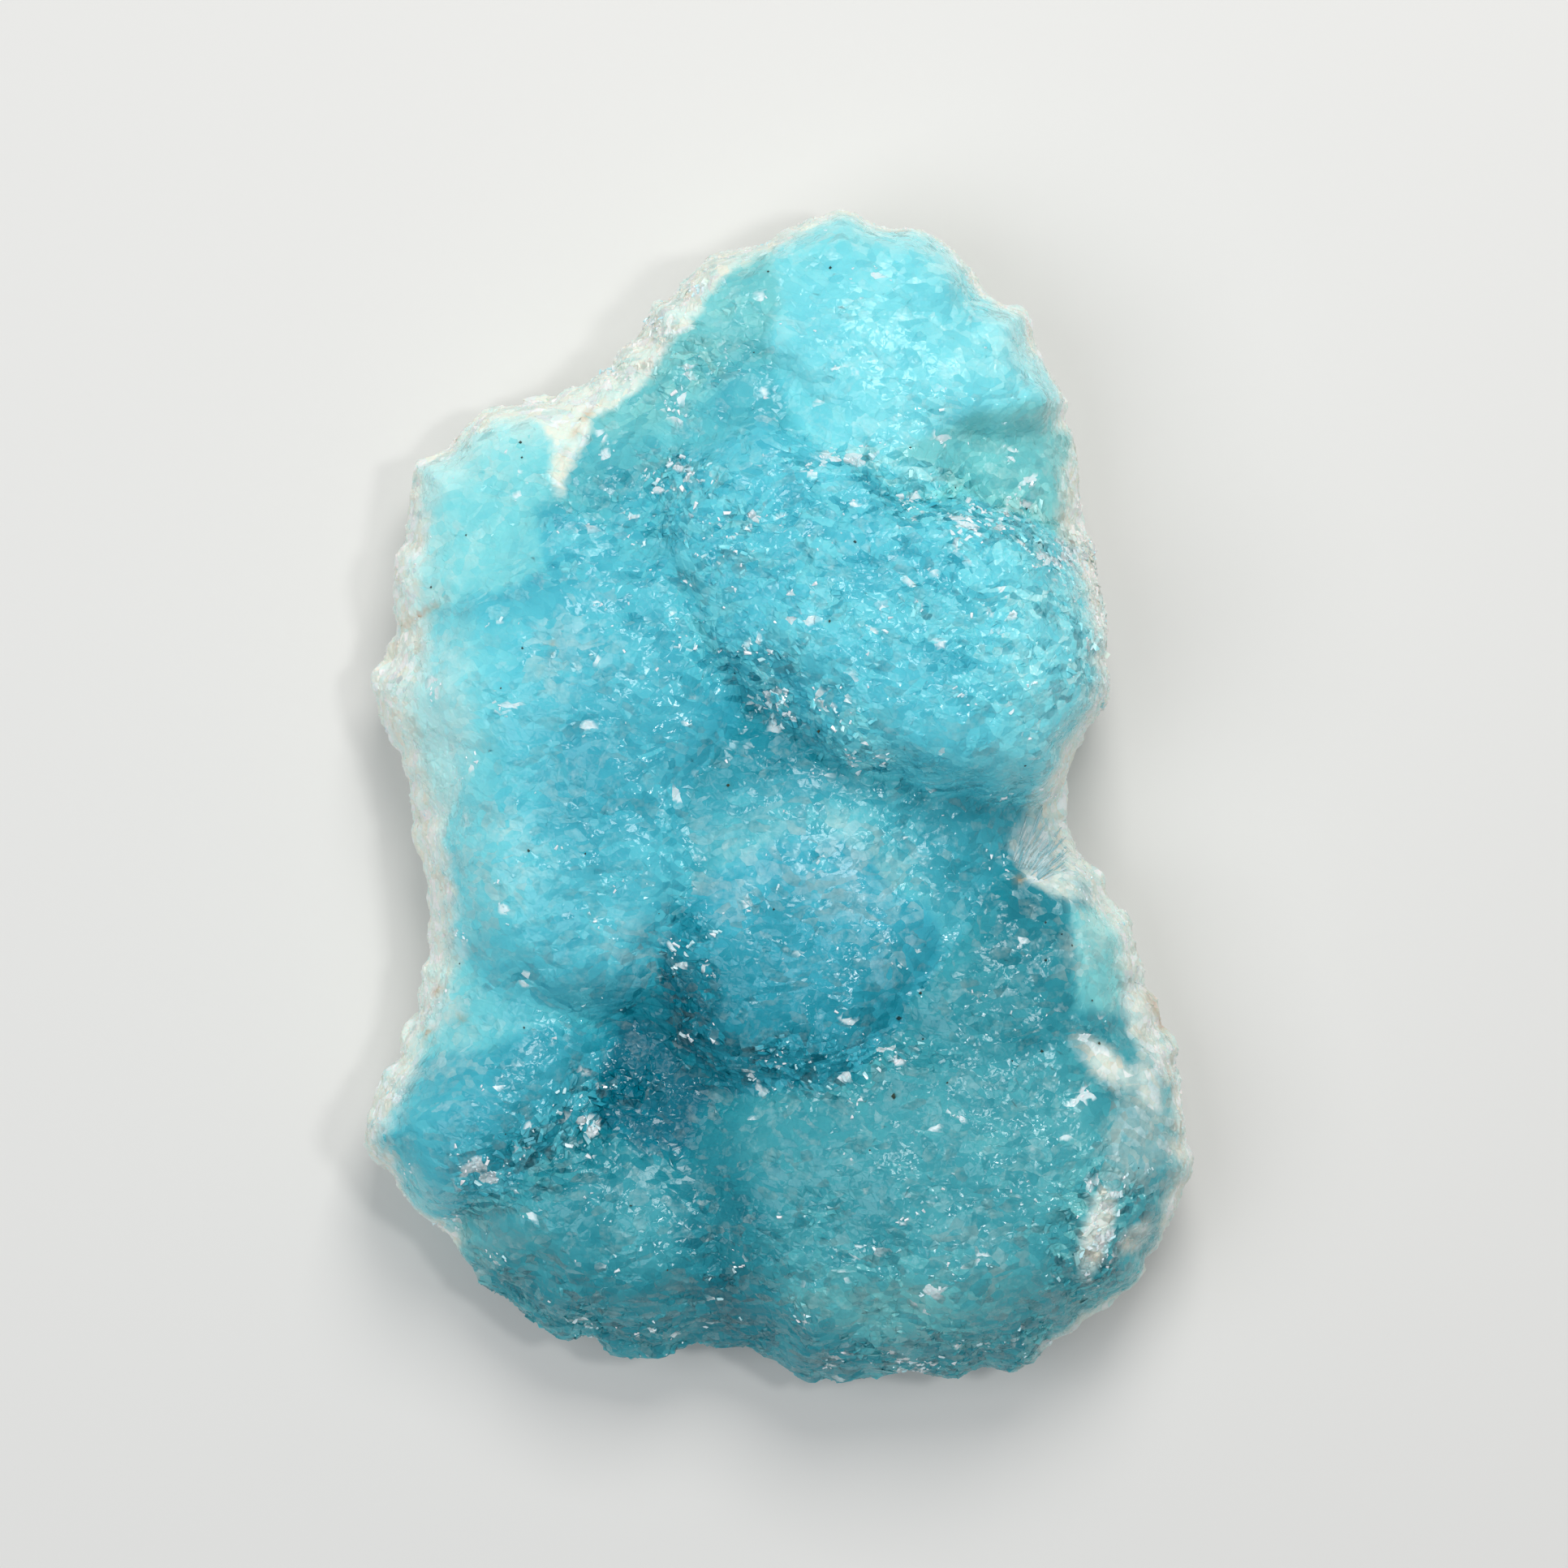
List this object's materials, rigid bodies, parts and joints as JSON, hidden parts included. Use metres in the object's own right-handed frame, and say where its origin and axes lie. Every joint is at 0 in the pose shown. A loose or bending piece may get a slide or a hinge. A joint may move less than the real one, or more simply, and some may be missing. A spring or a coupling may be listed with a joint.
{
  "type": "hemimorphite mineral specimen",
  "caption": "Pale blue-green hemimorphite crust of merged rounded lobes with a drusy crystal skin, a pale broken rim and a flat cut back that it lies on.",
  "frame": {"origin": "centre of the bounding box, on the plane of the flat cut back", "axes": "+Z out of the back through the grown face, +Y along the plate towards its narrower top end, +X to the right seen from above"},
  "size_m": [0.0558, 0.0786, 0.0229],
  "materials": {
    "hemimorphite": "sparkling fine crystal skin, translucent, glassy"
  },
  "bodies": {
    "root": {"hemimorphite": "hemimorphite"}
  },
  "joints": []
}
